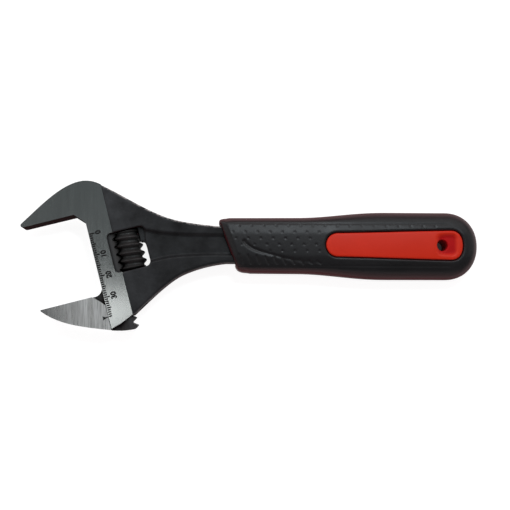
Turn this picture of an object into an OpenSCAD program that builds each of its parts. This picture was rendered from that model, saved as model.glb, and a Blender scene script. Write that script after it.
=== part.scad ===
// Adjustable wrench with a wide jaw, a worm and rack, and a two-material grip.
// Origin: centre of the hanging hole, halfway through the thickness.
// +X runs to the butt end, the head is at -X, and +Z leaves the scale face.

/* [Head] */
// angle between the head and the handle, degrees
head_angle = 14.3; // [10:0.1:22.5]
// distance from the hanging hole back to the corner of the jaws, along X
head_back = 167.4; // [150:0.1:180]
// sideways distance of that corner from the handle's centre line
head_rise = 14.6; // [8:0.1:20]
// thickness of the ground jaws and scale strip
jaw_t = 13; // [10:0.1:16]
// thickness of both jaws at their tips
jaw_tip_t = 12; // [7:0.1:13]
// thickness of the black part of the head
head_t = 12.4; // [9:0.1:15]
// width of the ground scale strip
strip_w = 10.9; // [8:0.05:14]
// reach of the fixed jaw in front of the throat
fixed_reach = 29.2; // [22:0.1:36]

/* [Jaw opening] */
// opening between the two jaw faces as drawn
opening = 39; // [0:0.1:40]

/* [Rack] */
// radius of the round rack bar
bar_r = 4.7; // [3:0.05:5]
// running clearance round the bar and the neck
run_fit = 0.05; // [0.02:0.01:0.1]
// distance of the bar's centre line behind the jaw corner
bar_u = 8; // [6:0.1:9]
// thickness of the neck between bar and jaw
neck_t = 4.8; // [3:0.1:6]
// pitch shared by the rack and the worm
pitch = 3.62; // [2.5:0.01:5]

/* [Worm] */
// outside radius of the worm
worm_r = 6.4; // [5:0.05:8]
// radius at the bottom of the worm's thread
worm_root_r = 4.85; // [3.5:0.05:6]
// distance of the worm's axis behind the jaw corner
worm_u = 16.7; // [14:0.1:19]
// length of the worm
worm_l = 18.4; // [12:0.1:22]
// radius of the pin the worm turns on
pin_r = 1.7; // [1.2:0.05:2.5]

/* [Handle] */
// thickness of the steel shank where it enters the grip
shank_t = 10.8; // [8:0.1:12]
// half width of the shank where it enters the grip
shank_w = 8.3; // [6:0.1:10]
// thickness of the grip
grip_t = 16; // [13:0.1:20]
// half width of the grip at its front end
grip_front_w = 13.05; // [10:0.1:15]
// half width of the grip at its butt end
grip_butt_w = 15.95; // [12:0.05:18]
// distance of the butt end past the hanging hole
grip_end = 17.6; // [12:0.1:22]
// radius of the hanging hole
hang_r = 2.6; // [2:0.05:4]

/* [Hidden] */
$fn = 64;
eps = 0.02;
lead_angle = atan(pitch / (PI * (worm_r + worm_root_r)));
throat_x = 0.1;
jaw_edge_x = -0.15;
window_left = 7.8;
window_right = 24.65;
window_top = 12.2;
window_bottom = 31.1;
worm_top = window_top + 0.2;
tooth_root = worm_u - worm_root_r - 1.85;
// one rack tooth is centred this far below the jaw corner
tooth_v = 27.65;
spring_bore_r = 2.85;
spring_bore_l = 8;
pin_head_v = 45;
core_t = 11;
panel_t = 15.6;
core_front = -93;
tang_end = -11;

// points along an arc from angle a to angle b
function arc(x, y, r, a, b, n) =
    [for (i = [0:n]) [x + r * cos(a + (b - a) * i / n),
                      y + r * sin(a + (b - a) * i / n)]];

// points along a cubic curve, without its first point
function curve(p, q, r, s, n) =
    [for (i = [1:n]) let (t = i / n, w = 1 - t)
        w * w * w * p + 3 * w * w * t * q + 3 * w * t * t * r + t * t * t * s];

// place children in the head's own frame: +X to the handle, -Y to the moving jaw
module head_frame() {
    translate([-head_back, head_rise, 0]) rotate(head_angle) children();
}

// a slab of the given thickness, centred on the middle plane
module slab(t) {
    translate([0, 0, -t / 2]) linear_extrude(height = t) children();
}

// a cylinder along the head's Y axis from depth v1 to depth v2
module head_rod(u, v1, v2, r) {
    translate([u, -v2, 0]) rotate([-90, 0, 0]) cylinder(r = r, h = v2 - v1);
}

// ---- outlines in the head frame ----

module fixed_jaw_outline() {
    tip = -fixed_reach + 1;
    polygon(concat(
        [[throat_x, -55.3], [throat_x, -4.7], [-4.4, 0]],
        arc(tip, 1, 1, 270, 130, 6),
        curve([tip - 0.64, 1.77], [-19, 7.3], [-8, 14.6], [1.5, 14.6], 14),
        curve([1.5, 14.6], [5.5, 14.6], [9, 12.9], [11.4, 10.5], 6),
        [[11.6, 8], [20, 0], [16, -46.5], [10.9, -51.3], [8.2, -52.4], [5.6, -53.7]]));
}

module strip_outline() {
    translate([-40, -60]) square([40 + throat_x + strip_w, 80]);
}

// outline of the worm's window, cut from both faces
module window_outline() {
    polygon(concat(
        arc(window_left + 2.1, -window_top - 2.1, 2.1, 180, 90, 5),
        [[22.6, -window_top]],
        curve([22.6, -window_top], [24.6, -12.4], [25.6, -12.7], [25.5, -14.6], 4),
        [[25.3, -16.6], [window_right, -19]],
        arc(window_right - 2.2, -window_bottom + 2.25, 2.2, 0, -90, 5),
        [[20.5, -window_bottom]],
        arc(window_left + 2.1, -window_bottom + 2.1, 2.1, 270, 180, 5)));
}

// ledge left in the window's corner, hollowed to clear the worm
module ledge_outline() {
    polygon(concat([[22.3, -11], [27, -11], [27, -22.5], [window_right, -22.5]],
                   curve([window_right, -22.5], [24.6, -20.6], [24.2, -19.2],
                         [23.2, -19.2], 6),
                   [[22.3, -19.2]]));
}

// the slot the neck slides in, with room for its rounded corner when closed
module neck_slot_outline() {
    difference() {
        translate([-4.45, -60]) square([4.45 + bar_u, 60 + 4.4]);
        translate([-4.1, 4]) circle(r = 3.8);
        translate([-6, 4]) square([1.9, 5]);
    }
}

// ---- outlines in the handle's frame ----

module shank_outline() {
    polygon(concat(
        [[-158.8, 27.4]],
        curve([-158.8, 27.4], [-150, 23.5], [-141, 17.2], [-129.5, 12.9], 10),
        curve([-129.5, 12.9], [-121, 9.9], [-110, 9.3], [-100, shank_w], 8),
        [[core_front, shank_w], [core_front, -shank_w], [-101, -shank_w]],
        curve([-101, -shank_w], [-108, -9], [-115, -10.9], [-121, -13.6], 6),
        curve([-121, -13.6], [-128, -16.9], [-136, -25.3], [-143.9, -32.8], 10)));
}

module recess_outline() {
    polygon(concat(
        [[-140.4, 5], [-139.3, 7.7]],
        curve([-139.3, 7.7], [-131, 5.8], [-125, 5.1], [-96, 5.4], 8),
        [[-96, -5.3]],
        curve([-96, -5.3], [-120, -5], [-127, -5.8], [-136.2, -8.6], 8),
        [[-138.5, -5]]));
}

module grip_outline(inset, front) {
    w1 = grip_front_w - inset;
    w2 = grip_butt_w - inset;
    xe = grip_end - inset;
    polygon(concat(
        [[front + 5.4, -w1], [-66, -w1 - 0.2]],
        curve([-66, -w1 - 0.2], [-52, -w1 - 0.5], [-42, -w2], [-26, -w2], 6),
        [[2.5, -w2]],
        curve([2.5, -w2], [11.5, -w2], [xe, -9.5], [xe, 0], 9),
        curve([xe, 0], [xe, 9.5], [11.5, w2], [2.5, w2], 9),
        curve([-26, w2], [-42, w2], [-52, w1 + 0.5], [-66, w1 + 0.2], 6),
        [[front - 3, w1]]));
}

// front edge of the grip, slanted and rounded at its corners
module grip_front_cut() {
    polygon(concat(
        [[-120, 30], [-98, 30], [-101.6, grip_front_w + 0.1]],
        curve([-101.6, grip_front_w + 0.1], [-103.4, 13], [-105.2, 12.1],
              [-104.1, 10.1], 5),
        [[-97, -9.3]],
        curve([-97, -9.3], [-96.4, -11.4], [-95.4, -13], [-92.4, -13.4], 5),
        [[-92.4, -30], [-120, -30]]));
}

module panel_outline(gap) {
    r = 5.55 + gap;
    x2 = 9.6 + gap;
    w = 6.9 + gap;
    polygon(concat(
        arc(-49.2, 0, r, 270, 90, 12),
        curve([-49.2, r], [-30, r + 0.3], [-14, w - 0.3], [4, w], 6),
        curve([4, w], [7.4, w], [x2, 4.6], [x2, 0], 6),
        curve([x2, 0], [x2, -4.6], [7.4, -w], [4, -w], 6),
        curve([4, -w], [-14, -w + 0.3], [-30, -r - 0.3], [-49.2, -r], 6)));
}

module tang_outline(gap) {
    polygon(concat(
        [[core_front - 1, -7 - gap]],
        arc(tang_end - 5, 0, 5 + gap, -80, 80, 8),
        [[core_front - 1, 7 + gap]]));
}

// grip cross-section, crowned on both faces and rounded at the sides
module grip_section() {
    h = grip_t / 2;
    polygon(concat(
        curve([-9.5, 7.4], [-5, h], [5, h], [9.5, 7.4], 8),
        curve([9.5, 7.4], [13.5, 6.6], [grip_butt_w, 4.6], [grip_butt_w, 0], 7),
        curve([grip_butt_w, 0], [grip_butt_w, -4.6], [13.5, -6.6], [9.5, -7.4], 7),
        curve([9.5, -7.4], [5, -h], [-5, -h], [-9.5, -7.4], 8),
        curve([-9.5, -7.4], [-13.5, -6.6], [-grip_butt_w, -4.6],
              [-grip_butt_w, 0], 7),
        curve([-grip_butt_w, 0], [-grip_butt_w, 4.6], [-13.5, 6.6],
              [-9.5, 7.4], 7)));
}

// ---- steel body ----

// two wedges that thin the shank towards the grip
module shank_taper() {
    for (s = [-1, 1])
        translate([0, 40, 0]) rotate([90, 0, 0]) linear_extrude(height = 80)
            polygon([[-139, s * (head_t / 2 + 0.001)], [-104, s * shank_t / 2],
                     [core_front + 2, s * shank_t / 2],
                     [core_front + 2, s * 9], [-139, s * 9]]);
}

// two wedges that thin a jaw towards its tip, in the head's frame
module jaw_taper() {
    for (s = [-1, 1])
        translate([0, 40, 0]) rotate([90, 0, 0]) linear_extrude(height = 120)
            polygon([[-5, s * (jaw_t / 2 + 0.001)], [-29.5, s * jaw_tip_t / 2],
                     [-34, s * jaw_tip_t / 2], [-34, s * 9], [-5, s * 9]]);
}

module body() {
    color("DimGray") difference() {
        union() {
            head_frame() slab(jaw_t) intersection() {
                fixed_jaw_outline();
                strip_outline();
            }
            difference() {
                slab(head_t) union() {
                    head_frame() fixed_jaw_outline();
                    shank_outline();
                }
                shank_taper();
            }
            slab(5.6) tang_outline(0);
        }
        head_frame() jaw_taper();
        // shallow recess in both faces of the shank
        for (s = [-1, 1])
            translate([0, 0, s > 0 ? 4.5 : -8.5]) linear_extrude(height = 4)
                recess_outline();
        head_frame() {
            // window for the worm, with a ledge left in one corner
            difference() {
                slab(20) window_outline();
                difference() {
                    slab(7.2) ledge_outline();
                    head_rod(worm_u, 10, 24, worm_r + 0.25);
                }
            }
            // round way for the rack bar and the neck's slot in front of it
            head_rod(bar_u, -20, 62, bar_r + run_fit);
            slab(neck_t + 2 * run_fit) neck_slot_outline();
            // bore and sunk seat for the worm's pin
            head_rod(worm_u, 6.5, 46, pin_r + eps);
            head_rod(worm_u, 35.9, 46, 2.1 + eps);
            head_rod(worm_u, pin_head_v, 60, 2.8);
        }
    }
}

// ---- moving jaw with its neck and rack ----

module jaw_blade_outline() {
    polygon(concat(
        [[-29.3, -39], [-5.2, -39]],
        curve([-5.2, -39], [-3.6, -40.3], [-1.2, -42.7], [jaw_edge_x, -44.2], 5),
        [[jaw_edge_x, -55.9]],
        curve([jaw_edge_x, -55.9], [-10, -52.2], [-22.3, -48.3],
              [-29.5, -39.5], 12)));
}

module neck_outline() {
    polygon(concat(
        [[-9, -39]],
        arc(-4.1, -35, 4, 270, 360, 8),
        [[bar_u, -35], [bar_u, -57.65]],
        curve([bar_u, -57.65], [5.2, -57.4], [2.8, -56.9], [jaw_edge_x, -56], 4),
        [[jaw_edge_x - 0.1, -54], [-9, -51]]));
}

// lower end of the bar, following the outline of the jaw
module bar_end_outline() {
    polygon(concat(
        [[-2, -12.8], [13.2, -12.8], [13.2, -56.3]],
        curve([13.2, -56.3], [12.8, -57.4], [11.6, -57.9], [10, -57.8], 4),
        curve([10, -57.8], [7, -57.7], [4, -57.2], [2, -56.7], 4),
        [[-2, -55.3]]));
}

// one rack groove, tilted to the lead of the worm's thread
module rack_groove(v) {
    s = 0.26 * pitch / (worm_r - worm_root_r);
    w1 = 0.12 * pitch + 0.12 + s * (tooth_root - worm_u + worm_r);
    w2 = w1 + s * 3;
    translate([0, -v, 0]) rotate([lead_angle, 0, 0]) slab(16)
        polygon([[tooth_root, -w1], [tooth_root + 3, -w2],
                 [tooth_root + 3, w2], [tooth_root, w1]]);
}

module movable_jaw() {
    color("Silver") head_frame() translate([0, 39 - opening])
        difference() {
            union() {
                slab(jaw_t) jaw_blade_outline();
                slab(neck_t) neck_outline();
                intersection() {
                    head_rod(bar_u, 12, 60, bar_r);
                    slab(10) bar_end_outline();
                }
            }
            for (k = [-4:8]) rack_groove(tooth_v + pitch / 2 + k * pitch);
            // the teeth are hollowed to clear the worm's core
            head_rod(worm_u, 5, 60, worm_root_r + 0.1);
            translate([0, -39 + opening, 0]) jaw_taper();
        }
}

// ---- worm, its pin and its spring ----

// one turn of the left-hand thread, seen along the axis
module worm_profile() {
    start = 360 * (worm_top + worm_l - tooth_v) / pitch;
    polygon([for (a = [-180:12:168])
        let (f = max(0, min(1, (abs(a) / 360 - 0.12) / 0.26)),
             r = worm_r - f * (worm_r - worm_root_r))
        [r * cos(a + start), r * sin(a + start)]]);
}

module worm() {
    color("DarkSlateGray") head_frame()
        translate([worm_u, -worm_top - worm_l, 0]) rotate([-90, 0, 0])
            difference() {
                linear_extrude(height = worm_l, twist = 360 * worm_l / pitch,
                               slices = 90, $fn = 30) worm_profile();
                translate([0, 0, -1])
                    cylinder(r = pin_r + 0.05, h = worm_l + 2);
                translate([0, 0, worm_l - spring_bore_l])
                    cylinder(r = spring_bore_r, h = spring_bore_l + 1);
            }
}

module worm_pin() {
    color("Gray") head_frame() difference() {
        union() {
            head_rod(worm_u, 6.8, pin_head_v + 0.5, pin_r);
            head_rod(worm_u, 36, pin_head_v + 0.5, 2.1);
            head_rod(worm_u, pin_head_v + eps, pin_head_v + 1.9, 2.6);
        }
        // screwdriver slot
        translate([worm_u - 4, -pin_head_v - 3, -0.4]) cube([8, 2, 0.8]);
    }
}

// level slice through a coil of round wire, which is a long crescent
module coil_slice(r, wire_r, coil_pitch) {
    span = 355 * wire_r / coil_pitch;
    polygon(concat(
        [for (i = [-7:7]) let (a = span * i / 7, z = coil_pitch * a / 360,
            q = r + sqrt(wire_r * wire_r - z * z)) [q * cos(a), q * sin(a)]],
        [for (i = [7:-1:-7]) let (a = span * i / 7, z = coil_pitch * a / 360,
            q = r - sqrt(wire_r * wire_r - z * z)) [q * cos(a), q * sin(a)]]));
}

module worm_spring() {
    turns = 5;
    len = spring_bore_l - 0.1;
    color("LightSteelBlue") head_frame()
        translate([worm_u, -window_top - eps - len, 0]) rotate([-90, 0, 0])
            linear_extrude(height = len, twist = -360 * turns,
                           slices = 16 * turns, $fn = 30)
                coil_slice(2.3, 0.4, len / turns);
}

// ---- two-part grip ----

module core_solid(gap) {
    slab(core_t + 2 * gap) intersection() {
        grip_outline(3 - gap, core_front + 8);
        translate([core_front, -20]) square([130, 40]);
    }
    slab(panel_t + (gap > 0 ? 4 : 0)) panel_outline(gap);
}

module grip_core() {
    color("FireBrick") difference() {
        core_solid(0);
        slab(5.6 + 2 * eps) tang_outline(eps);
        cylinder(r = hang_r, h = 40, center = true);
        // dished seat round the hanging hole, on both faces
        for (s = [-1, 1])
            translate([0, 0, s > 0 ? panel_t / 2 - 1.2 : -panel_t / 2 - 1.8])
                linear_extrude(height = 3) polygon(concat(
                    arc(4.4, 2.9, 2.6, 0, 90, 4), arc(-0.6, 2.9, 2.6, 90, 180, 4),
                    arc(-0.6, -2.3, 2.6, 180, 270, 4),
                    arc(4.4, -2.3, 2.6, 270, 360, 4)));
    }
}

module grip_sleeve() {
    color("Black") difference() {
        intersection() {
            slab(grip_t + 1) difference() {
                grip_outline(0, -104);
                grip_front_cut();
            }
            translate([-120, 0, 0]) rotate([90, 0, 90])
                linear_extrude(height = 160) grip_section();
            // rounded butt and front, seen from the side
            translate([0, 40, 0]) rotate([90, 0, 0]) linear_extrude(height = 80)
                polygon(concat(
                    [[-105, -6.6], [-97, -grip_t / 2 - 0.2]],
                    [[4, -grip_t / 2 - 0.2]],
                    curve([4, -8.2], [12, -7.8], [grip_end + 0.1, -4.5],
                          [grip_end + 0.1, 0], 6),
                    curve([grip_end + 0.1, 0], [grip_end + 0.1, 4.5], [12, 7.8],
                          [4, 8.2], 6),
                    [[-97, grip_t / 2 + 0.2], [-105, 6.6]]));
        }
        core_solid(eps);
        slab(5.6 + 2 * eps) tang_outline(eps);
        // the shank's end, with its recess, fills the grip's mouth
        difference() {
            slab(shank_t + 2 * eps)
                polygon([[-112, 9.9], [-99, 8.45], [core_front + eps, shank_w + eps],
                         [core_front + eps, -shank_w - eps], [-99, -8.45],
                         [-112, -9.9]]);
            for (s = [-1, 1])
                translate([0, 0, s > 0 ? 4.5 + eps : -8.5 - eps])
                    linear_extrude(height = 4) intersection() {
                        recess_outline();
                        translate([-120, -20]) square([24 - eps, 40]);
                    }
        }
    }
}

body();
movable_jaw();
worm();
worm_pin();
worm_spring();
grip_core();
grip_sleeve();
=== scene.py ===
import math
import bmesh
import bpy
import numpy as np
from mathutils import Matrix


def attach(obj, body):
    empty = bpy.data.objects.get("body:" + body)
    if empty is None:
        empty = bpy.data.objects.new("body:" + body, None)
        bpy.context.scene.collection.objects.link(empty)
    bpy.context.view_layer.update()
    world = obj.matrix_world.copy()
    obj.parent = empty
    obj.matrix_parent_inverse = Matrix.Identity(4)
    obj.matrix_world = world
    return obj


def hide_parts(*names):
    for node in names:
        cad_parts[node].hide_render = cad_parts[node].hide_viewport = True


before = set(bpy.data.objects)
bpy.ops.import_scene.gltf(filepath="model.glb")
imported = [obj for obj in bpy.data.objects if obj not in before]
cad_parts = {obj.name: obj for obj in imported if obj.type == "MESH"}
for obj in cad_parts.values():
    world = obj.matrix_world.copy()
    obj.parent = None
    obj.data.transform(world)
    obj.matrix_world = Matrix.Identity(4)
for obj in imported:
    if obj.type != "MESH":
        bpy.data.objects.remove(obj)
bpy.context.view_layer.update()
import openvdb
from mathutils import Matrix, Vector

# ---- sizes in millimetres, in the CAD's frame ----

# the head's own frame: its turn, and its origin's place before and above the hanging hole
HEAD_ANGLE = math.radians(14.3)
HEAD_BACK, HEAD_RISE = 167.4, 14.6
CA, SA = math.cos(HEAD_ANGLE), math.sin(HEAD_ANGLE)
# half thicknesses: ground jaws, black head, shank, the recess along it, the window's ledge
JAW_HALF, BLACK_HALF, SHANK_HALF, RECESS_FLOOR, LEDGE_HALF = 6.5, 6.2, 5.4, 4.5, 3.6
# the ground strip's right edge, and the window's four sides
STRIP_EDGE = 11.0
WINDOW_LEFT, WINDOW_RIGHT, WINDOW_TOP, WINDOW_BOTTOM = 7.8, 24.65, 12.2, 31.1
# the rack bar's way, the worm with its thread, and the seat of the pin's head
BAR_U, BAR_R = 8.0, 4.75
WORM_U, WORM_R, WORM_ROOT, WORM_TOP, WORM_L = 16.7, 6.4, 4.85, 12.4, 18.4
PITCH, TOOTH_V = 3.62, 27.65
PIN_HEAD_V, PIN_HEAD_HOLE = 45.0, 2.8
# the grip's half widths, its end and half thickness; the panel, its dish and the hole
GRIP_FRONT_W, GRIP_BUTT_W, GRIP_END, GRIP_HALF = 13.05, 15.95, 17.6, 8.0
PANEL_HALF, DISH_DEPTH, HANG_R = 7.8, 1.2, 2.6
# the scale: marks, the first one's place, their half width, the figures, and their lift
MARKS, FIRST_MARK, MARK_HALF, FIGURE_SIZE, MARK_LIFT = 40, 10.55, 0.32, 3.3, 0.012
# cells of the distance fields, and the rounding of each piece's rim
FORGING_CELL, GRIP_CELL, PANEL_CELL = 0.28, 0.36, 0.25
FORGING_ROUND, PANEL_ROUND = 1.15, 0.75
FLOOR_Z = -8.05


# ---- outlines ----

def arc(x, y, r, a, b, n):
    """Points along a circle from angle a to angle b, in degrees."""
    t = np.radians(np.linspace(a, b, n + 1))
    return [(x + r * math.cos(k), y + r * math.sin(k)) for k in t]


def curve(p, q, r, s, n):
    """Points along a cubic curve, without its first point."""
    t = (np.arange(1, n + 1) / n)[:, None]
    p, q, r, s = (np.array(c, float) for c in (p, q, r, s))
    w = 1 - t
    return [tuple(c) for c in w**3 * p + 3 * w * w * t * q + 3 * w * t * t * r + t**3 * s]


def from_head(u, y):
    """A point of the head's own frame in the handle's frame."""
    return (-HEAD_BACK + u * CA - y * SA, HEAD_RISE + u * SA + y * CA)


def to_head(x, y):
    """Coordinates in the head's own frame: along u, and down v to the moving jaw."""
    x, y = x + HEAD_BACK, y - HEAD_RISE
    return x * CA + y * SA, x * SA - y * CA


def forging_outline():
    """The black steel right of the strip, carried on under the grip's front."""
    head = [from_head(*p) for p in
            [(10.9, -51.3), (10.2, -51.7), (8.4, -52), (8.4, 12.8), (10.4, 11.4), (11.4, 10.4)]]
    return (head
            + curve((-158.8, 27.4), (-150, 23.5), (-141, 17.2), (-129.5, 12.9), 16)
            + curve((-129.5, 12.9), (-121, 9.9), (-110, 9.3), (-100, 8.3), 14)
            + [(-88, 8.3), (-88, -8.3), (-101, -8.3)]
            + curve((-101, -8.3), (-108, -9), (-115, -10.9), (-121, -13.6), 10)
            + curve((-121, -13.6), (-128, -16.9), (-136, -25.3), (-143.9, -32.8), 16))


def window_outline():
    """The opening round the worm, with a lobe at its upper right."""
    l, r, t, b = WINDOW_LEFT, WINDOW_RIGHT, -WINDOW_TOP, -WINDOW_BOTTOM
    points = (arc(l + 2.1, t - 2.1, 2.1, 180, 90, 7)
              + curve((22.6, t), (24.6, -12.4), (25.6, -12.7), (25.5, -14.6), 7)
              + curve((25.5, -14.6), (25.4, -16.6), (r + 0.1, -17.6), (r, -20), 4)
              + arc(r - 2.2, b + 2.25, 2.2, 0, -90, 8) + [(20.5, b)]
              + arc(l + 2.1, b + 2.1, 2.1, 270, 180, 7))
    return [from_head(*p) for p in points]


def ledge_outline():
    """A thin ledge left standing in the window beside the worm."""
    edge = curve((WINDOW_RIGHT, -22.5), (24.6, -20.6), (24.2, -19.2), (23.2, -19.2), 10)
    return [from_head(*p) for p in
            [(22.3, -9), (28, -9), (28, -22.5), (WINDOW_RIGHT, -22.5)] + edge + [(22.3, -19.2)]]


def recess_outline():
    """The long hollow in the shank's faces."""
    return ([(-144, 2), (-143, 8.4), (-139.3, 7.7)]
            + curve((-139.3, 7.7), (-131, 5.8), (-125, 5.1), (-88, 5.4), 12)
            + [(-88, -5.3)]
            + curve((-88, -5.3), (-120, -5), (-127, -5.8), (-136.2, -8.6), 12)
            + [(-140, -9.6), (-142, -4)])


def grip_outline():
    """The grip seen from the face, carried on past its front edge."""
    w1, w2, xe = GRIP_FRONT_W, GRIP_BUTT_W, GRIP_END
    lower = ([(-112, -w1 + 0.1), (-66, -w1 - 0.2)]
             + curve((-66, -w1 - 0.2), (-52, -w1 - 0.5), (-42, -w2), (-26, -w2), 12)
             + [(2.5, -w2)] + curve((2.5, -w2), (11.5, -w2), (xe, -9.5), (xe, 0), 18))
    return lower + [(x, -y) for x, y in reversed(lower[:-1])]


def grip_front():
    """The region in front of the grip's slanted front edge."""
    w = GRIP_FRONT_W
    return ([(-125, 34), (-97, 34), (-101.4, w + 0.3)]
            + curve((-101.4, w + 0.3), (-103.6, 12.9), (-105.4, 12), (-104.1, 9.6), 8)
            + [(-97, -8.9)]
            + curve((-97, -8.9), (-96.3, -11.6), (-95, -13), (-91.4, -13.6), 8)
            + [(-91.4, -34), (-125, -34)])


def panel_outline():
    """The red panel: a round front end, and a wider squared end at the hole."""
    r, x2, w = 5.55, 9.6, 6.9
    upper = (curve((-49.2, r), (-30, r + 0.3), (-14, w - 0.3), (4, w), 12)
             + curve((4, w), (7.4, w), (x2, 4.6), (x2, 0), 12))
    lower = [(x, -y) for x, y in reversed(upper[:-1])]
    return arc(-49.2, 0, r, 270, 90, 24) + upper + lower


def dish_outline():
    """The sunk square with round corners that the hanging hole stands in."""
    left, right, low, high, r = -0.6, 4.4, -2.3, 2.9, 2.6
    return (arc(right, high, r, 0, 90, 6) + arc(left, high, r, 90, 180, 6)
            + arc(left, low, r, 180, 270, 6) + arc(right, low, r, 270, 360, 6))


# ---- distance fields ----

def distance(points, x, y):
    """Signed distance to a closed outline, below zero inside."""
    best = np.full(x.shape, 1e9, np.float32)
    inside = np.zeros(x.shape, bool)
    n = len(points)
    for i in range(n):
        (ax, ay), (bx, by) = points[i], points[(i + 1) % n]
        dx, dy = bx - ax, by - ay
        length = dx * dx + dy * dy
        if length < 1e-12:
            continue
        t = np.clip(((x - ax) * dx + (y - ay) * dy) / length, 0, 1)
        best = np.minimum(best, (x - ax - t * dx) ** 2 + (y - ay - t * dy) ** 2)
        if dy != 0:
            inside ^= ((ay > y) != (by > y)) & (x < ax + dx * (y - ay) / dy)
    best = np.sqrt(best)
    return np.where(inside, -best, best).astype(np.float32)


def line_distance(points, x, y):
    """Distance to an open line of points, and how far along it, from 0 to 1."""
    best = np.full(x.shape, 1e9, np.float32)
    along = np.zeros(x.shape, np.float32)
    for i in range(len(points) - 1):
        (ax, ay), (bx, by) = points[i], points[i + 1]
        dx, dy = bx - ax, by - ay
        t = np.clip(((x - ax) * dx + (y - ay) * dy) / (dx * dx + dy * dy), 0, 1)
        d = (x - ax - t * dx) ** 2 + (y - ay - t * dy) ** 2
        along = np.where(d < best, (i + t) / (len(points) - 1), along)
        best = np.minimum(best, d)
    return np.sqrt(best), along


def smooth_max(a, b, k):
    """The larger of two fields, blended over a width of k."""
    h = np.maximum(k - np.abs(a - b), 0) / k
    return np.maximum(a, b) + h * h * k * 0.25


def step(t):
    """Rises smoothly from 0 to 1 as t does."""
    t = np.clip(t, 0, 1)
    return t * t * (3 - 2 * t)


def rounded(side, top, r):
    """A slab with its edge rounded: side and top are distances beyond each face."""
    a, b = side + r, top + r
    return (np.minimum(np.maximum(a, b), 0)
            + np.hypot(np.maximum(a, 0), np.maximum(b, 0)) - r)


def grid(low, high, cell):
    """Points of a block: x and y over its floor, the height above the middle, its place."""
    x, y, z = (np.arange(a, b + cell, cell, dtype=np.float32) for a, b in zip(low, high))
    flat = np.meshgrid(x, y, indexing="ij")
    return flat[0], flat[1], np.abs(z)[None, None, :], (low, cell)


def mesh_object(name, points, faces, smooth=True):
    """An object from points in millimetres."""
    mesh = bpy.data.meshes.new(name)
    mesh.from_pydata([tuple(p) for p in np.asarray(points, float) / 1000], [], faces)
    mesh.update()
    mesh.polygons.foreach_set("use_smooth", [smooth] * len(mesh.polygons))
    ob = bpy.data.objects.new(name, mesh)
    bpy.context.scene.collection.objects.link(ob)
    return ob


def surface(name, field, place):
    """The closed surface where the field is zero."""
    low, cell = place
    vdb = openvdb.FloatGrid(1.0)
    vdb.copyFromArray(np.ascontiguousarray(field.astype(np.float32)))
    points, quads = vdb.convertToQuads(0.0)
    points = points * cell + np.array(low)
    # the faces have to look outwards
    a, b, c = (points[quads[:, k]] for k in (0, 1, 2))
    if np.einsum("ij,ij->i", a, np.cross(b, c)).sum() < 0:
        quads = quads[:, ::-1]
    return mesh_object(name, points, quads.tolist())


# ---- pieces ----

def shank_top(x, y):
    """Half thickness of the black steel, with the recess sunk into its faces."""
    # it thins from the head to the shank
    half = BLACK_HALF - (BLACK_HALF - SHANK_HALF) * np.clip((x + 139) / 35, 0, 1)
    inside = -distance(recess_outline(), x, y)
    return half - (half - RECESS_FLOOR) * step((inside + 0.1) / 1.7)


def black_forging():
    """The head and the shank, as far as they show in front of the grip."""
    x, y, z, place = grid((-162, -36, -7), (-92.6, 29.5, 7), FORGING_CELL)
    side = distance(forging_outline(), x, y)[:, :, None]
    top = shank_top(x, y)[:, :, None]
    f = rounded(side, z - top, FORGING_ROUND)
    u, v = to_head(x, y)
    u, v = u[:, :, None], v[:, :, None]
    cut = distance(window_outline(), x, y)[:, :, None]
    ledge = np.maximum(distance(ledge_outline(), x, y)[:, :, None], z - LEDGE_HALF)
    ledge = np.maximum(ledge, WORM_R + 0.25 - np.hypot(u - WORM_U, z))
    f = smooth_max(f, -smooth_max(cut, -ledge, 0.3), 0.7)
    f = np.maximum(f, BAR_R - np.hypot(u - BAR_U, z))
    hole = np.maximum(np.hypot(u - WORM_U, z) - PIN_HEAD_HOLE, PIN_HEAD_V + 0.02 - v)
    f = smooth_max(f, -hole, 0.4)
    f = np.maximum(f, (x + 93)[:, :, None])
    return surface("forged_body", f, place)


def wave_line():
    """The groove that parts the dots from the strokes."""
    return (curve((-93.4, 2.4), (-91, -2.6), (-84, -3.6), (-76, -5.7), 14)
            + curve((-76, -5.7), (-68, -7.8), (-62, -8.2), (-51, -9), 10))


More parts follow.
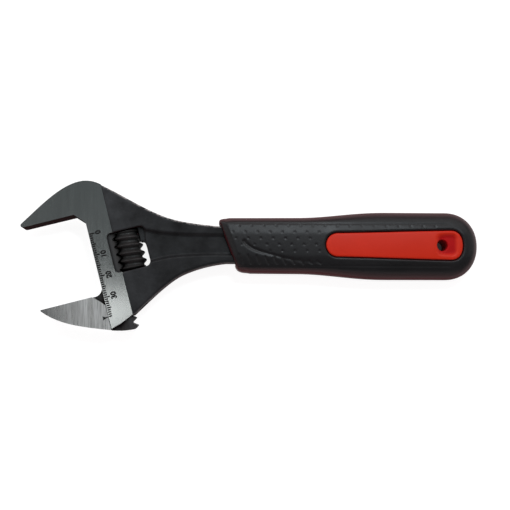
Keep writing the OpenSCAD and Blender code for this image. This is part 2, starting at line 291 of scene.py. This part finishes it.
def grip_details(x, y):
    """How far the grip's face is sunk by its moulded pattern."""
    sunk = np.zeros(x.shape, np.float32)
    d, t = line_distance(wave_line(), x, y)
    width = 0.75 * (1 - 0.4 * t)
    sunk += 0.42 * (1 - step(t * 1.02 - 0.1)) * np.exp(-(d / width) ** 2)
    # slanted strokes below the wave, shorter towards the butt
    for i in range(10):
        a = -95.2 + 4.05 * i
        top = -4.4 - 0.085 * (a + 95) - 0.3
        d, _ = line_distance([(a, top), (a + 1.35, -8.9)], x, y)
        sunk += 0.26 * np.exp(-(d / 0.5) ** 4)
    # round dimples in slanted rows, clear of the strokes, the panel and both ends
    row_gap, dot_gap, dot_r, dot_depth = 2.95, 5.75, 0.55, 0.14
    panel_front = -57
    for row in range(-3, 4):
        cy = row_gap * row
        for i in range(24):
            cx = -99.6 + dot_gap * i + 2.2 * (row % 2) + 0.7 * row
            in_strokes = cx < panel_front and cy < -2.2 - 0.11 * (cx + 88)
            by_panel = cx > panel_front and abs(cy) < 7.9
            past_end = cx > 2 or cx < -100.5 + 0.37 * (8 - cy)
            if not (in_strokes or by_panel or past_end):
                r = np.hypot(x - cx, y - cy)
                sunk += dot_depth * np.exp(-(r / dot_r) ** 4)
    # shallow creases where the face turns to the sides
    crease = np.exp(-((np.abs(y) - 9.9) / 0.35) ** 2)
    sunk += 0.2 * crease * step((x + 99) / 4) * step((6 - x) / 4)
    # a moulded groove round the panel
    beside = distance(panel_outline(), x, y)
    sunk += 0.35 * np.exp(-((beside - 0.1) / 0.55) ** 2)
    return sunk


def rubber_grip():
    """The black sleeve, open at the mouth, the panel and the hanging hole."""
    x, y, z, place = grid((-106, -16.8, -8.6), (18.3, 16.8, 8.6), GRIP_CELL)
    inside = np.maximum(-distance(grip_outline(), x, y), -2)
    # the sides roll over more towards the butt
    roll = 3.9 + 2.9 * step((x + 66) / 40)
    a = (np.maximum(roll - inside, 0) / roll)[:, :, None]
    # a nearly flat middle, and a facet sloping down on each side of it
    beyond = np.abs(y) - 5.4
    tall = GRIP_HALF - 0.0018 * y * y - 0.055 * (beyond + np.hypot(beyond, 0.6))
    front = distance(grip_front(), x, y)
    tall = tall - 0.9 * (1 - step(front / 3.2))
    tall = (tall - grip_details(x, y))[:, :, None]
    # a rounded section: a is how far out to the side, b how far up, each 1 at the surface
    b = z / tall
    p = 2.35
    g = (a ** p + b ** p) ** (1 / p) - 1
    scale = (tall * b * b + roll[:, :, None] * a * a) / (a * a + b * b + 1e-6)
    f = g * scale
    f = smooth_max(f, -front[:, :, None], 1.8)
    # the mouth is open round the shank
    mouth = np.maximum(np.abs(y) - np.interp(x, [-112, -99, -94], [9.9, 8.75, 8.5]), x + 94)
    mouth = np.maximum(mouth[:, :, None], z - shank_top(x, y)[:, :, None] - 0.15)
    f = smooth_max(f, -mouth, 0.8)
    # an opening for the panel down to its seat, and the hanging hole
    panel = distance(panel_outline(), x, y)[:, :, None]
    f = np.maximum(f, -np.maximum(panel - 0.38, 6.4 - z))
    f = np.maximum(f, HANG_R + 0.3 - np.hypot(x, y)[:, :, None])
    return surface("rubber_grip", f, place)


def red_panel():
    """The hard plastic that shows through the sleeve, with its dish and hole."""
    x, y, z, place = grid((-56, -8.1, -8.4), (10.9, 8.1, 8.4), PANEL_CELL)
    side = distance(panel_outline(), x, y)
    dish = distance(dish_outline(), x, y)
    # the dish's wall is gentler on the side of the jaws
    slope = 2.4 + 1.2 * step((2.4 - x) / 5)
    # slightly domed, and sunk by the dish
    top = PANEL_HALF + 0.1 - 0.006 * y * y - DISH_DEPTH * step((0.5 - dish) / slope)
    f = rounded(side[:, :, None], z - top[:, :, None], PANEL_ROUND)
    hole = HANG_R - np.hypot(x, y)
    f = smooth_max(f, hole[:, :, None], 0.5)
    return surface("red_panel", f, place)


def worm_thread():
    """The worm with its left-hand thread, rounded crests and chamfered ends."""
    around, along = 144, 150
    points, faces = [], []
    for j in range(along + 1):
        v = WORM_TOP + WORM_L * j / along
        end = min(v - WORM_TOP, WORM_TOP + WORM_L - v)
        for i in range(around):
            a = 2 * math.pi * i / around
            phase = (v - TOOTH_V) / PITCH + a / (2 * math.pi)
            phase = abs(phase - round(phase))
            # t runs from 0 on the flat crest to 1 at the root
            t = min(1, max(0, (phase - 0.05) / 0.35))
            t = 0.75 * t + 0.25 * t * t * (3 - 2 * t)
            # the ends are chamfered
            r = min(WORM_R - t * (WORM_R - WORM_ROOT), 4.9 + end * 1.3)
            x, y = from_head(WORM_U + r * math.cos(a), -v)
            points.append((x, y, r * math.sin(a)))
    for j in range(along):
        for i in range(around):
            k = (i + 1) % around
            faces.append((j * around + i, (j + 1) * around + i,
                          (j + 1) * around + k, j * around + k))
    faces.append(tuple(range(around)))
    faces.append(tuple(reversed(range(along * around, (along + 1) * around))))
    ob = mesh_object("worm_thread", points, faces)
    for f in ob.data.polygons:
        if len(f.vertices) > 4:
            f.use_smooth = False
    return ob


def finish_edges(ob, width):
    """Joins the CAD's facets and breaks its edges."""
    weld = ob.modifiers.new("weld", 'WELD')
    weld.merge_threshold = 2e-6
    flat = ob.modifiers.new("flat", 'DECIMATE')
    flat.decimate_type = 'DISSOLVE'
    flat.angle_limit = math.radians(0.6)
    bevel = ob.modifiers.new("bevel", 'BEVEL')
    bevel.width = width / 1000
    bevel.segments = 2
    bevel.limit_method = 'ANGLE'
    bevel.angle_limit = math.radians(28)
    bevel.harden_normals = False
    normal = ob.modifiers.new("normal", 'WEIGHTED_NORMAL')
    normal.keep_sharp = False
    ob.data.polygons.foreach_set("use_smooth", [True] * len(ob.data.polygons))


def ground_jaw():
    """The fixed jaw with the scale strip: the CAD body up to the strip's edge."""
    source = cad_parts["body"]
    ob = bpy.data.objects.new("fixed_jaw_and_strip", source.data.copy())
    bpy.context.scene.collection.objects.link(ob)
    bm = bmesh.new()
    bm.from_mesh(ob.data)
    bmesh.ops.remove_doubles(bm, verts=bm.verts, dist=2e-6)
    bm.to_mesh(ob.data)
    bm.free()
    # a block that holds everything left of the strip's edge
    left, low, high, deep = -45, -75, 35, 12
    corners = [from_head(*p) for p in
               [(left, low), (STRIP_EDGE, low), (STRIP_EDGE, high), (left, high)]]
    points = [(x, y, z) for z in (-deep, deep) for x, y in corners]
    faces = [(3, 2, 1, 0), (4, 5, 6, 7), (0, 1, 5, 4), (1, 2, 6, 5), (2, 3, 7, 6), (3, 0, 4, 7)]
    block = mesh_object("block", points, faces, False)
    cut = ob.modifiers.new("cut", 'BOOLEAN')
    cut.operation = 'INTERSECT'
    cut.solver = 'EXACT'
    cut.object = block
    shape = bpy.data.meshes.new_from_object(ob.evaluated_get(
        bpy.context.evaluated_depsgraph_get()))
    ob.modifiers.clear()
    ob.data = shape
    bpy.data.objects.remove(block)
    finish_edges(ob, 0.28)
    return ob


def scale_marks():
    """Etched marks and figures: dark inlays a hair above the ground strip."""
    points, faces = [], []
    z = JAW_HALF + MARK_LIFT
    start = 0.3
    for n in range(MARKS):
        end = 2.9 if n % 10 == 0 else 2.35 if n % 5 == 0 else 1.8
        low, high = FIRST_MARK + n + MARK_HALF, FIRST_MARK + n - MARK_HALF
        faces.append(tuple(range(len(points), len(points) + 4)))
        points.extend((*from_head(u, -v), z) for u, v in
                      [(start, low), (end, low), (end, high), (start, high)])
    parts = [mesh_object("scale_marks", points, faces, False)]
    for text, u, v in (("0", 4.6, 10.5), ("10", 4.8, 20.9), ("20", 4.8, 30.7),
                       ("30", 4.75, 40.5)):
        words = bpy.data.curves.new("figures", 'FONT')
        words.body = text
        words.size = FIGURE_SIZE / 1000
        words.align_x, words.align_y = 'CENTER', 'CENTER'
        words.offset = 0.00016
        holder = bpy.data.objects.new("figures", words)
        bpy.context.scene.collection.objects.link(holder)
        bpy.context.view_layer.update()
        mesh = bpy.data.meshes.new_from_object(holder)
        bpy.data.objects.remove(holder)
        x, y = from_head(u, -v)
        mesh.transform(Matrix.Translation((x / 1000, y / 1000, z / 1000))
                       @ Matrix.Rotation(HEAD_ANGLE + math.pi / 2, 4, 'Z'))
        figure = bpy.data.objects.new("figure_" + text, mesh)
        bpy.context.scene.collection.objects.link(figure)
        parts.append(figure)
    return parts


def arrow_mark():
    """The arrow on the moving jaw that points at the scale."""
    z = JAW_HALF + MARK_LIFT
    points = [(-2.65, 48.75), (-1.35, 49.5), (-0.15, 49.4), (-0.15, 49.9), (-1.35, 50.15),
              (-2.8, 50.7), (-2.55, 49.8)]
    return mesh_object("arrow_mark", [(*from_head(u, -v), z) for u, v in points],
                       [tuple(reversed(range(len(points))))], False)


# ---- materials ----

class Finish:
    """A procedural material, built node by node."""

    def __init__(self, name, **values):
        self.mat = bpy.data.materials.new(name)
        self.mat.use_nodes = True
        self.tree = self.mat.node_tree
        self.tree.nodes.clear()
        self.shader = self.add('ShaderNodeBsdfPrincipled')
        out = self.add('ShaderNodeOutputMaterial')
        self.link(self.shader.outputs[0], out.inputs["Surface"])
        self.where = self.add('ShaderNodeTexCoord').outputs["Object"]
        for key, value in values.items():
            self.set(key, value)

    def add(self, kind, **inputs):
        node = self.tree.nodes.new(kind)
        for key, value in inputs.items():
            self.put(node.inputs[key], value)
        return node

    def link(self, a, b):
        self.tree.links.new(a, b)

    def put(self, socket, value):
        if isinstance(value, bpy.types.NodeSocket):
            self.link(value, socket)
        elif isinstance(value, tuple) and len(value) == 3 and socket.type == 'RGBA':
            socket.default_value = (*value, 1)
        else:
            socket.default_value = value

    def set(self, key, value):
        self.put(self.shader.inputs[key.replace("_", " ")], value)

    def math(self, op, a, b=0.0, c=0.0):
        node = self.add('ShaderNodeMath')
        node.operation = op
        for i, value in enumerate((a, b, c)):
            self.put(node.inputs[i], value)
        return node.outputs[0]

    def moved(self, scale=(1.0, 1.0, 1.0), turn=0.0):
        node = self.add('ShaderNodeMapping', Vector=self.where, Scale=scale,
                        Rotation=(0.0, 0.0, turn))
        return node.outputs[0]

    def noise(self, scale, detail=3.0, rough=0.55, where=None):
        node = self.add('ShaderNodeTexNoise', Vector=where or self.where, Scale=scale,
                        Detail=detail, Roughness=rough)
        return node.outputs["Fac"]

    def fit(self, value, a, b, c, d):
        node = self.add('ShaderNodeMapRange')
        for i, item in enumerate((value, a, b, c, d)):
            self.put(node.inputs[i], item)
        return node.outputs[0]

    def mix(self, factor, a, b):
        node = self.add('ShaderNodeMix')
        node.data_type = 'RGBA'
        self.put(node.inputs[0], factor)
        self.put(node.inputs[6], a)
        self.put(node.inputs[7], b)
        return node.outputs[2]

    def side_wall(self, low=0.2, high=0.6):
        """1 on walls across the thickness, 0 on the flat faces."""
        normal = self.add('ShaderNodeNewGeometry').outputs["True Normal"]
        up = self.add('ShaderNodeSeparateXYZ', Vector=normal).outputs[2]
        return self.fit(self.math('ABSOLUTE', up), low, high, 1.0, 0.0)

    def crevice_shade(self, reach, floor=0.0):
        """A painted shade factor: 1 on open faces, falling towards floor in crevices within reach
        metres.
        """
        node = self.add('ShaderNodeAmbientOcclusion', Distance=reach)
        node.samples = 8
        return self.fit(node.outputs["AO"], 0.15, 0.85, floor, 1.0)

    def bump(self, *layers):
        """Layers of (height, strength, distance in metres), one over another."""
        normal = None
        for height, strength, reach in layers:
            node = self.add('ShaderNodeBump', Strength=strength, Distance=reach, Height=height)
            if normal is not None:
                self.link(normal, node.inputs["Normal"])
            normal = node.outputs[0]
        self.link(normal, self.shader.inputs["Normal"])


def black_steel(name, low, high, rough, wear_and_shade=0.0, reach=0.004, rim=(0.024, 0.009, 0.010)):
    """Blackened forging: a cloudy tone, pits, painted shade in crevices, side walls tinted to rim as
    painted reflection and shade, and if asked for, painted shade towards the shank and flecks where
    the blacking is rubbed off.
    """
    m = Finish(name, IOR=1.5)
    cloud = m.noise(95.0, 4.0, 0.6)
    grain = m.noise(900.0, 3.0, 0.6)
    pits = m.noise(320.0, 5.0, 0.7)
    unshaded = m.crevice_shade(reach)
    colour = m.mix(m.fit(cloud, 0.35, 0.68, 0.0, 1.0), low, high)
    shine = m.fit(m.side_wall(), 0.0, 1.0, 0.30, 0.02)
    if wear_and_shade:
        # painted shade: darker and less shiny towards the shank
        along = m.add('ShaderNodeSeparateXYZ', Vector=m.where).outputs[0]
        shank_shade = m.fit(along, -0.152, -0.124, 0.0, 0.5)
        colour = m.mix(shank_shade, colour, (0.004, 0.0038, 0.0038))
        shine = m.math('MULTIPLY', shine, m.math('SUBTRACT', 1.12, shank_shade))
    # painted reflection and shade: the side walls are tinted towards rim, a dark red painted
    # reflection on the forging and a darker painted shade on the worm
    colour = m.mix(m.side_wall(), colour, rim)
    if wear_and_shade:
        # the blacking is rubbed off in flecks along the upper edge
        normal = m.add('ShaderNodeNewGeometry').outputs["True Normal"]
        part = m.add('ShaderNodeSeparateXYZ', Vector=normal)
        height = m.add('ShaderNodeSeparateXYZ', Vector=m.where).outputs[1]
        edge = m.math('MULTIPLY', m.fit(part.outputs[1], 0.3, 0.6, 0.0, 1.0),
                      m.fit(part.outputs[2], 0.2, 0.45, 0.0, wear_and_shade))
        edge = m.math('MULTIPLY', edge, m.fit(height, 0.006, 0.0075, 0.0, 1.0))
        fleck = m.noise(620.0, 4.0, 0.75)
        edge = m.math('MULTIPLY', edge, m.fit(fleck, 0.47, 0.54, 0.0, 1.0))
        colour = m.mix(edge, colour, (0.38, 0.38, 0.37))
    # painted shade: the colour falls to near black in crevices, and the shine falls there too
    colour = m.mix(unshaded, (0.001, 0.001, 0.001), colour)
    m.set("Base Color", colour)
    shine = m.math('MULTIPLY', shine, m.fit(cloud, 0.3, 0.7, 0.75, 1.25))
    m.set("Specular IOR Level", m.math('MULTIPLY', shine, unshaded))
    m.set("Roughness", m.fit(cloud, 0.3, 0.7, rough + 0.08, rough - 0.06))
    m.bump((cloud, 0.4, 0.0005), (pits, 0.45, 0.0002), (grain, 0.45, 0.00006))
    return m.mat


def ground_steel(name, tint, dark, turn, rough, wall=None):
    """Ground steel with streaks along the head's v axis, and, if wall is given, walls and bevels
    painted dark red-brown as painted shade and reflection.
    """
    m = Finish(name, Metallic=1.0)
    across = m.moved((1.0, 0.045, 1.0), turn)
    streak = m.noise(2600.0, 2.0, 0.6, across)
    broad = m.noise(420.0, 3.0, 0.6, across)
    cloud = m.noise(55.0, 3.0, 0.5)
    both = m.math('ADD', m.math('MULTIPLY', streak, 0.5), m.math('MULTIPLY', broad, 0.5))
    colour = m.mix(m.fit(both, 0.38, 0.62, 0.0, 1.0), dark, tint)
    roughness = m.fit(m.math('ADD', both, m.math('MULTIPLY', cloud, 0.4)),
                      0.5, 0.9, rough - 0.012, rough + 0.02)
    if wall:
        # painted shade with a red painted reflection: walls and the bevels round the ground faces take
        # wall, a dark red-brown without metal shine
        side = m.side_wall(0.93, 0.995)
        colour = m.mix(side, colour, wall)
        roughness = m.math('ADD', roughness, m.math('MULTIPLY', side, 0.2))
        m.set("Metallic", m.fit(side, 0.0, 1.0, 1.0, 0.0))
        m.set("Specular IOR Level", m.fit(side, 0.0, 1.0, 0.5, 0.0))
    m.set("Base Color", colour)
    m.set("Roughness", roughness)
    m.bump((broad, 0.03, 0.00005), (streak, 0.12, 0.000015))
    return m.mat


def rubber():
    """Soft black overmould with fine pores."""
    m = Finish("grip rubber", IOR=1.5)
    cloud = m.noise(60.0, 3.0, 0.5)
    grain = m.noise(2200.0, 2.0, 0.6)
    pores = m.noise(800.0, 3.0, 0.6)
    face = m.mix(cloud, (0.007, 0.0068, 0.0074), (0.014, 0.0134, 0.0145))
    # painted reflection: the rolled sides are tinted dark red, as if they mirrored red surroundings
    side = m.side_wall(0.4, 0.88)
    m.set("Base Color", m.mix(side, face, (0.058, 0.010, 0.012)))
    m.set("Specular IOR Level", m.fit(side, 0.0, 1.0, 0.29, 0.015))
    m.set("Roughness", m.fit(cloud, 0.3, 0.7, 0.33, 0.42))
    m.bump((pores, 0.3, 0.00008), (grain, 0.3, 0.00003))
    return m.mat


def red_plastic():
    """Hard red plastic, with painted shade making the bottom of the dish a deeper crimson."""
    m = Finish("red plastic", IOR=1.42)
    cloud = m.noise(70.0, 3.0, 0.5)
    grain = m.noise(1500.0, 2.0, 0.6)
    depth = m.math('ABSOLUTE', m.add('ShaderNodeSeparateXYZ', Vector=m.where).outputs[2])
    low = m.fit(depth, 0.0068, 0.0077, 1.0, 0.0)
    face = m.mix(cloud, (0.60, 0.023, 0.006), (0.69, 0.028, 0.008))
    # painted shade: the bottom of the dish takes a darker crimson and less shine
    m.set("Base Color", m.mix(low, face, (0.46, 0.010, 0.011)))
    m.set("Specular IOR Level", m.fit(low, 0.0, 1.0, 0.27, 0.06))
    m.set("Roughness", m.fit(cloud, 0.3, 0.7, 0.36, 0.46))
    m.bump((grain, 0.25, 0.00002), (cloud, 0.1, 0.0002))
    return m.mat


def ink():
    """The dark of an etched mark."""
    m = Finish("etching", IOR=1.3)
    grain = m.noise(1800.0, 3.0, 0.6)
    m.set("Base Color", m.mix(grain, (0.002, 0.002, 0.002), (0.01, 0.01, 0.0095)))
    m.set("Roughness", m.fit(grain, 0.3, 0.7, 0.55, 0.75))
    m.bump((grain, 0.2, 0.00002))
    return m.mat


def jaw_material():
    """Ground blade faces, with the bar, the neck and the rack left black."""
    m = Finish("moving jaw", Metallic=1.0)
    across = m.moved((1.0, 0.05, 1.0), 0.0)
    streak = m.noise(2300.0, 2.0, 0.6, across)
    broad = m.noise(380.0, 3.0, 0.65, across)
    cloud = m.noise(60.0, 3.0, 0.5)
    both = m.math('ADD', m.math('MULTIPLY', streak, 0.5), m.math('MULTIPLY', broad, 0.5))
    bright = m.mix(m.fit(both, 0.36, 0.64, 0.0, 1.0), (0.46, 0.46, 0.455), (0.99, 0.99, 0.98))
    spot = m.add('ShaderNodeSeparateXYZ', Vector=m.where)
    x = m.math('ADD', spot.outputs[0], HEAD_BACK / 1000)
    y = m.math('SUBTRACT', spot.outputs[1], HEAD_RISE / 1000)
    u = m.math('ADD', m.math('MULTIPLY', x, CA), m.math('MULTIPLY', y, SA))
    # painted shade: the blade's colour darkens towards the tip
    bright = m.mix(m.fit(u, -0.032, -0.006, 0.9, 0.0), bright, (0.22, 0.22, 0.22))
    dark = m.fit(u, 0.0000, 0.0002, 0.0, 1.0)
    # the neck lies below the blade's faces and is black too
    depth = m.math('ABSOLUTE', spot.outputs[2])
    dark = m.math('MAXIMUM', dark, m.fit(depth, 0.0036, 0.0042, 1.0, 0.0))
    dark = m.math('MAXIMUM', dark, m.side_wall())
    # painted shade: the black bar, neck and rack fall to near black in crevices, and their shine falls
    # there too
    unshaded = m.crevice_shade(0.0022)
    black = m.mix(unshaded, (0.001, 0.001, 0.001), (0.024, 0.023, 0.023))
    m.set("Base Color", m.mix(dark, bright, black))
    rough = m.fit(m.math('ADD', both, m.math('MULTIPLY', cloud, 0.4)), 0.5, 0.9, 0.24, 0.34)
    m.set("Roughness", m.math('ADD', rough, m.math('MULTIPLY', dark, 0.2)))
    m.set("Metallic", m.fit(dark, 0.0, 1.0, 1.0, 0.0))
    m.set("Specular IOR Level", m.math('MULTIPLY', unshaded, m.fit(m.side_wall(), 0.0, 1.0, 0.4, 0.04)))
    m.bump((broad, 0.25, 0.00005), (streak, 0.3, 0.000015))
    return m.mat


def paint(ob, mat):
    ob.data.materials.clear()
    ob.data.materials.append(mat)


# ---- the object ----

forging = black_forging()
paint(forging, black_steel("black forging", (0.011, 0.012, 0.0132), (0.026, 0.0285, 0.0315), 0.5, 0.9))
jaw = ground_jaw()
# its last colour is painted shade with a red painted reflection on the jaw's walls and bevels
paint(jaw, ground_steel("ground jaw", (0.63, 0.66, 0.645), (0.595, 0.62, 0.61), HEAD_ANGLE, 0.145,
                        (0.022, 0.014, 0.014)))
for piece in (forging, jaw):
    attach(piece, "frame")
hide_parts("body")
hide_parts("body")

mark = ink()
for piece in scale_marks():
    paint(piece, mark)
    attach(piece, "frame")
arrow = arrow_mark()
paint(arrow, mark)
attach(arrow, "jaw")

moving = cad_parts["movable_jaw"]
finish_edges(moving, 0.25)
paint(moving, jaw_material())

thread = worm_thread()
# its rim colour is a darker painted shade on the thread's walls, and its short reach paints shade into
# the thread's valleys
paint(thread, black_steel("worm steel", (0.021, 0.0206, 0.0206), (0.037, 0.036, 0.0357), 0.4,
                          reach=0.0016, rim=(0.016, 0.0145, 0.0145)))
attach(thread, "knurl")
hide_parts("worm")

for node, tint, dark in (("worm_pin", (0.42, 0.42, 0.41), (0.3, 0.3, 0.3)),
                         ("worm_spring", (0.5, 0.5, 0.5), (0.36, 0.36, 0.37))):
    paint(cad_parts[node], ground_steel(node.replace("_", " "), tint, dark, 0.0, 0.32))

grip = rubber_grip()
paint(grip, rubber())
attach(grip, "frame")
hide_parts("grip_sleeve")

panel = red_panel()
paint(panel, red_plastic())
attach(panel, "frame")
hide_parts("grip_core")


# ---- camera, floor and light ----

def camera():
    """Nearly straight above the wrench, a little from the jaws' lower side."""
    at = Vector((-0.087844, -0.004809, 0.0065))
    reach, tilt, pan, roll = 0.47053, math.radians(4.88), math.radians(-2.765), math.radians(0.193)
    pos = at + reach * Vector((math.sin(pan), -math.sin(tilt), math.cos(tilt) * math.cos(pan)))
    data = bpy.data.cameras.new("camera")
    data.lens = 71.578
    data.sensor_width = 36
    data.clip_start = 0.01
    ob = bpy.data.objects.new("camera", data)
    bpy.context.scene.collection.objects.link(ob)
    z = (pos - at).normalized()
    y = z.cross(Vector((1, 0, 0))).normalized()
    x = y.cross(z)
    turned = Matrix((x, y, z)).transposed() @ Matrix.Rotation(roll, 3, 'Z')
    ob.matrix_world = Matrix.Translation(pos) @ turned.to_4x4()
    bpy.context.scene.camera = ob


def panel_light(name, place, aim, size, power, colour=(1.0, 1.0, 1.0), mirrored=True):
    """A flat light card, in metres and watts."""
    data = bpy.data.lights.new(name, 'AREA')
    data.shape = 'RECTANGLE'
    data.size, data.size_y = size
    data.energy = power
    data.color = colour
    ob = bpy.data.objects.new(name, data)
    ob.visible_glossy = mirrored
    bpy.context.scene.collection.objects.link(ob)
    ob.location = place
    ob.rotation_euler = (Vector(aim) - Vector(place)).to_track_quat('-Z', 'Y').to_euler()


def floor():
    """A pale floor that glows like a light table."""
    s = 15.0
    mesh = bpy.data.meshes.new("floor")
    mesh.from_pydata([(-s, -s, 0), (s, -s, 0), (s, s, 0), (-s, s, 0)], [], [(0, 1, 2, 3)])
    plane = bpy.data.objects.new("floor", mesh)
    plane.location.z = FLOOR_Z / 1000
    bpy.context.scene.collection.objects.link(plane)
    m = Finish("floor", Roughness=0.9)
    grain = m.noise(30.0, 2.0, 0.5)
    m.set("Base Color", m.mix(grain, (0.30, 0.30, 0.30), (0.32, 0.32, 0.32)))
    m.set("Emission Color", (1.0, 1.0, 1.0))
    # painted shadow: its glow fades out in ovals under the hanging hole, the rack and worm, and the
    # ledge
    lit = None
    for x, y, turn, wide, tall in ((0.0, 0.0, 0.0, 10.0, 10.0),
                                   (*from_head(12.0, -20.5), HEAD_ANGLE, 8.0, 16.0),
                                   (*from_head(22.4, -14.6), HEAD_ANGLE, 4.2, 3.7)):
        spot = m.add('ShaderNodeMapping', Vector=m.where, Location=(x / 1000, y / 1000, 0.0),
                     Rotation=(0.0, 0.0, turn), Scale=(wide / 1000, tall / 1000, 1.0))
        spot.vector_type = 'TEXTURE'
        away = m.add('ShaderNodeVectorMath', Vector=spot.outputs[0])
        away.operation = 'LENGTH'
        part = m.fit(away.outputs[1], 0.92, 1.05, 0.02 if lit is None else 0.0, 1.0)
        lit = part if lit is None else m.math('MULTIPLY', lit, part)
    m.set("Emission Strength", m.math('MULTIPLY', lit, 0.9))
    paint(plane, m.mat)


def studio():
    """A dim world and soft light cards round the part."""
    world = bpy.data.worlds.new("studio")
    bpy.context.scene.world = world
    world.use_nodes = True
    back = world.node_tree.nodes["Background"]
    back.inputs[0].default_value = (0.9, 0.97, 1.0, 1)
    back.inputs[1].default_value = 0.10
    # small cards overhead, mirrored in the lower end of the scale strip and the moving jaw
    panel_light("glint", (-0.225, -0.011, 0.62), (-0.225, -0.011, 0), (0.13, 0.027), 0.0174)
    panel_light("blade", (-0.258, -0.035, 0.62), (-0.258, -0.035, 0), (0.085, 0.05), 0.021)
    # mirrored in the facet along the grip's upper side
    panel_light("sheen", (0.005, 0.245, 0.60), (-0.06, 0, 0), (0.13, 0.05), 1.0, (0.86, 0.95, 1.0))
    panel_light("left", (-1.0, 0.2, 0.45), (-0.1, 0, 0), (1.1, 1.6), 4.2)
    panel_light("right", (0.85, 0.2, 0.45), (-0.1, 0, 0), (0.75, 1.3), 1.8)
    panel_light("back", (-0.1, 0.75, 0.62), (-0.1, 0, 0), (1.8, 0.6), 4.6)
    panel_light("front", (-0.1, -0.95, 0.35), (-0.1, 0, 0), (1.4, 0.4), 1.3)
    # low red cards: a faint red on the upright edges, never mirrored in the steel
    red = (1.0, 0.06, 0.12)
    panel_light("red back", (-0.1, 0.6, 0.16), (-0.1, 0, 0), (1.3, 0.3), 0.9, red, False)
    panel_light("red front", (-0.1, -0.6, 0.16), (-0.1, 0, 0), (1.3, 0.3), 0.7, red, False)
    bpy.context.scene.view_settings.view_transform = 'Standard'


camera()
floor()
studio()
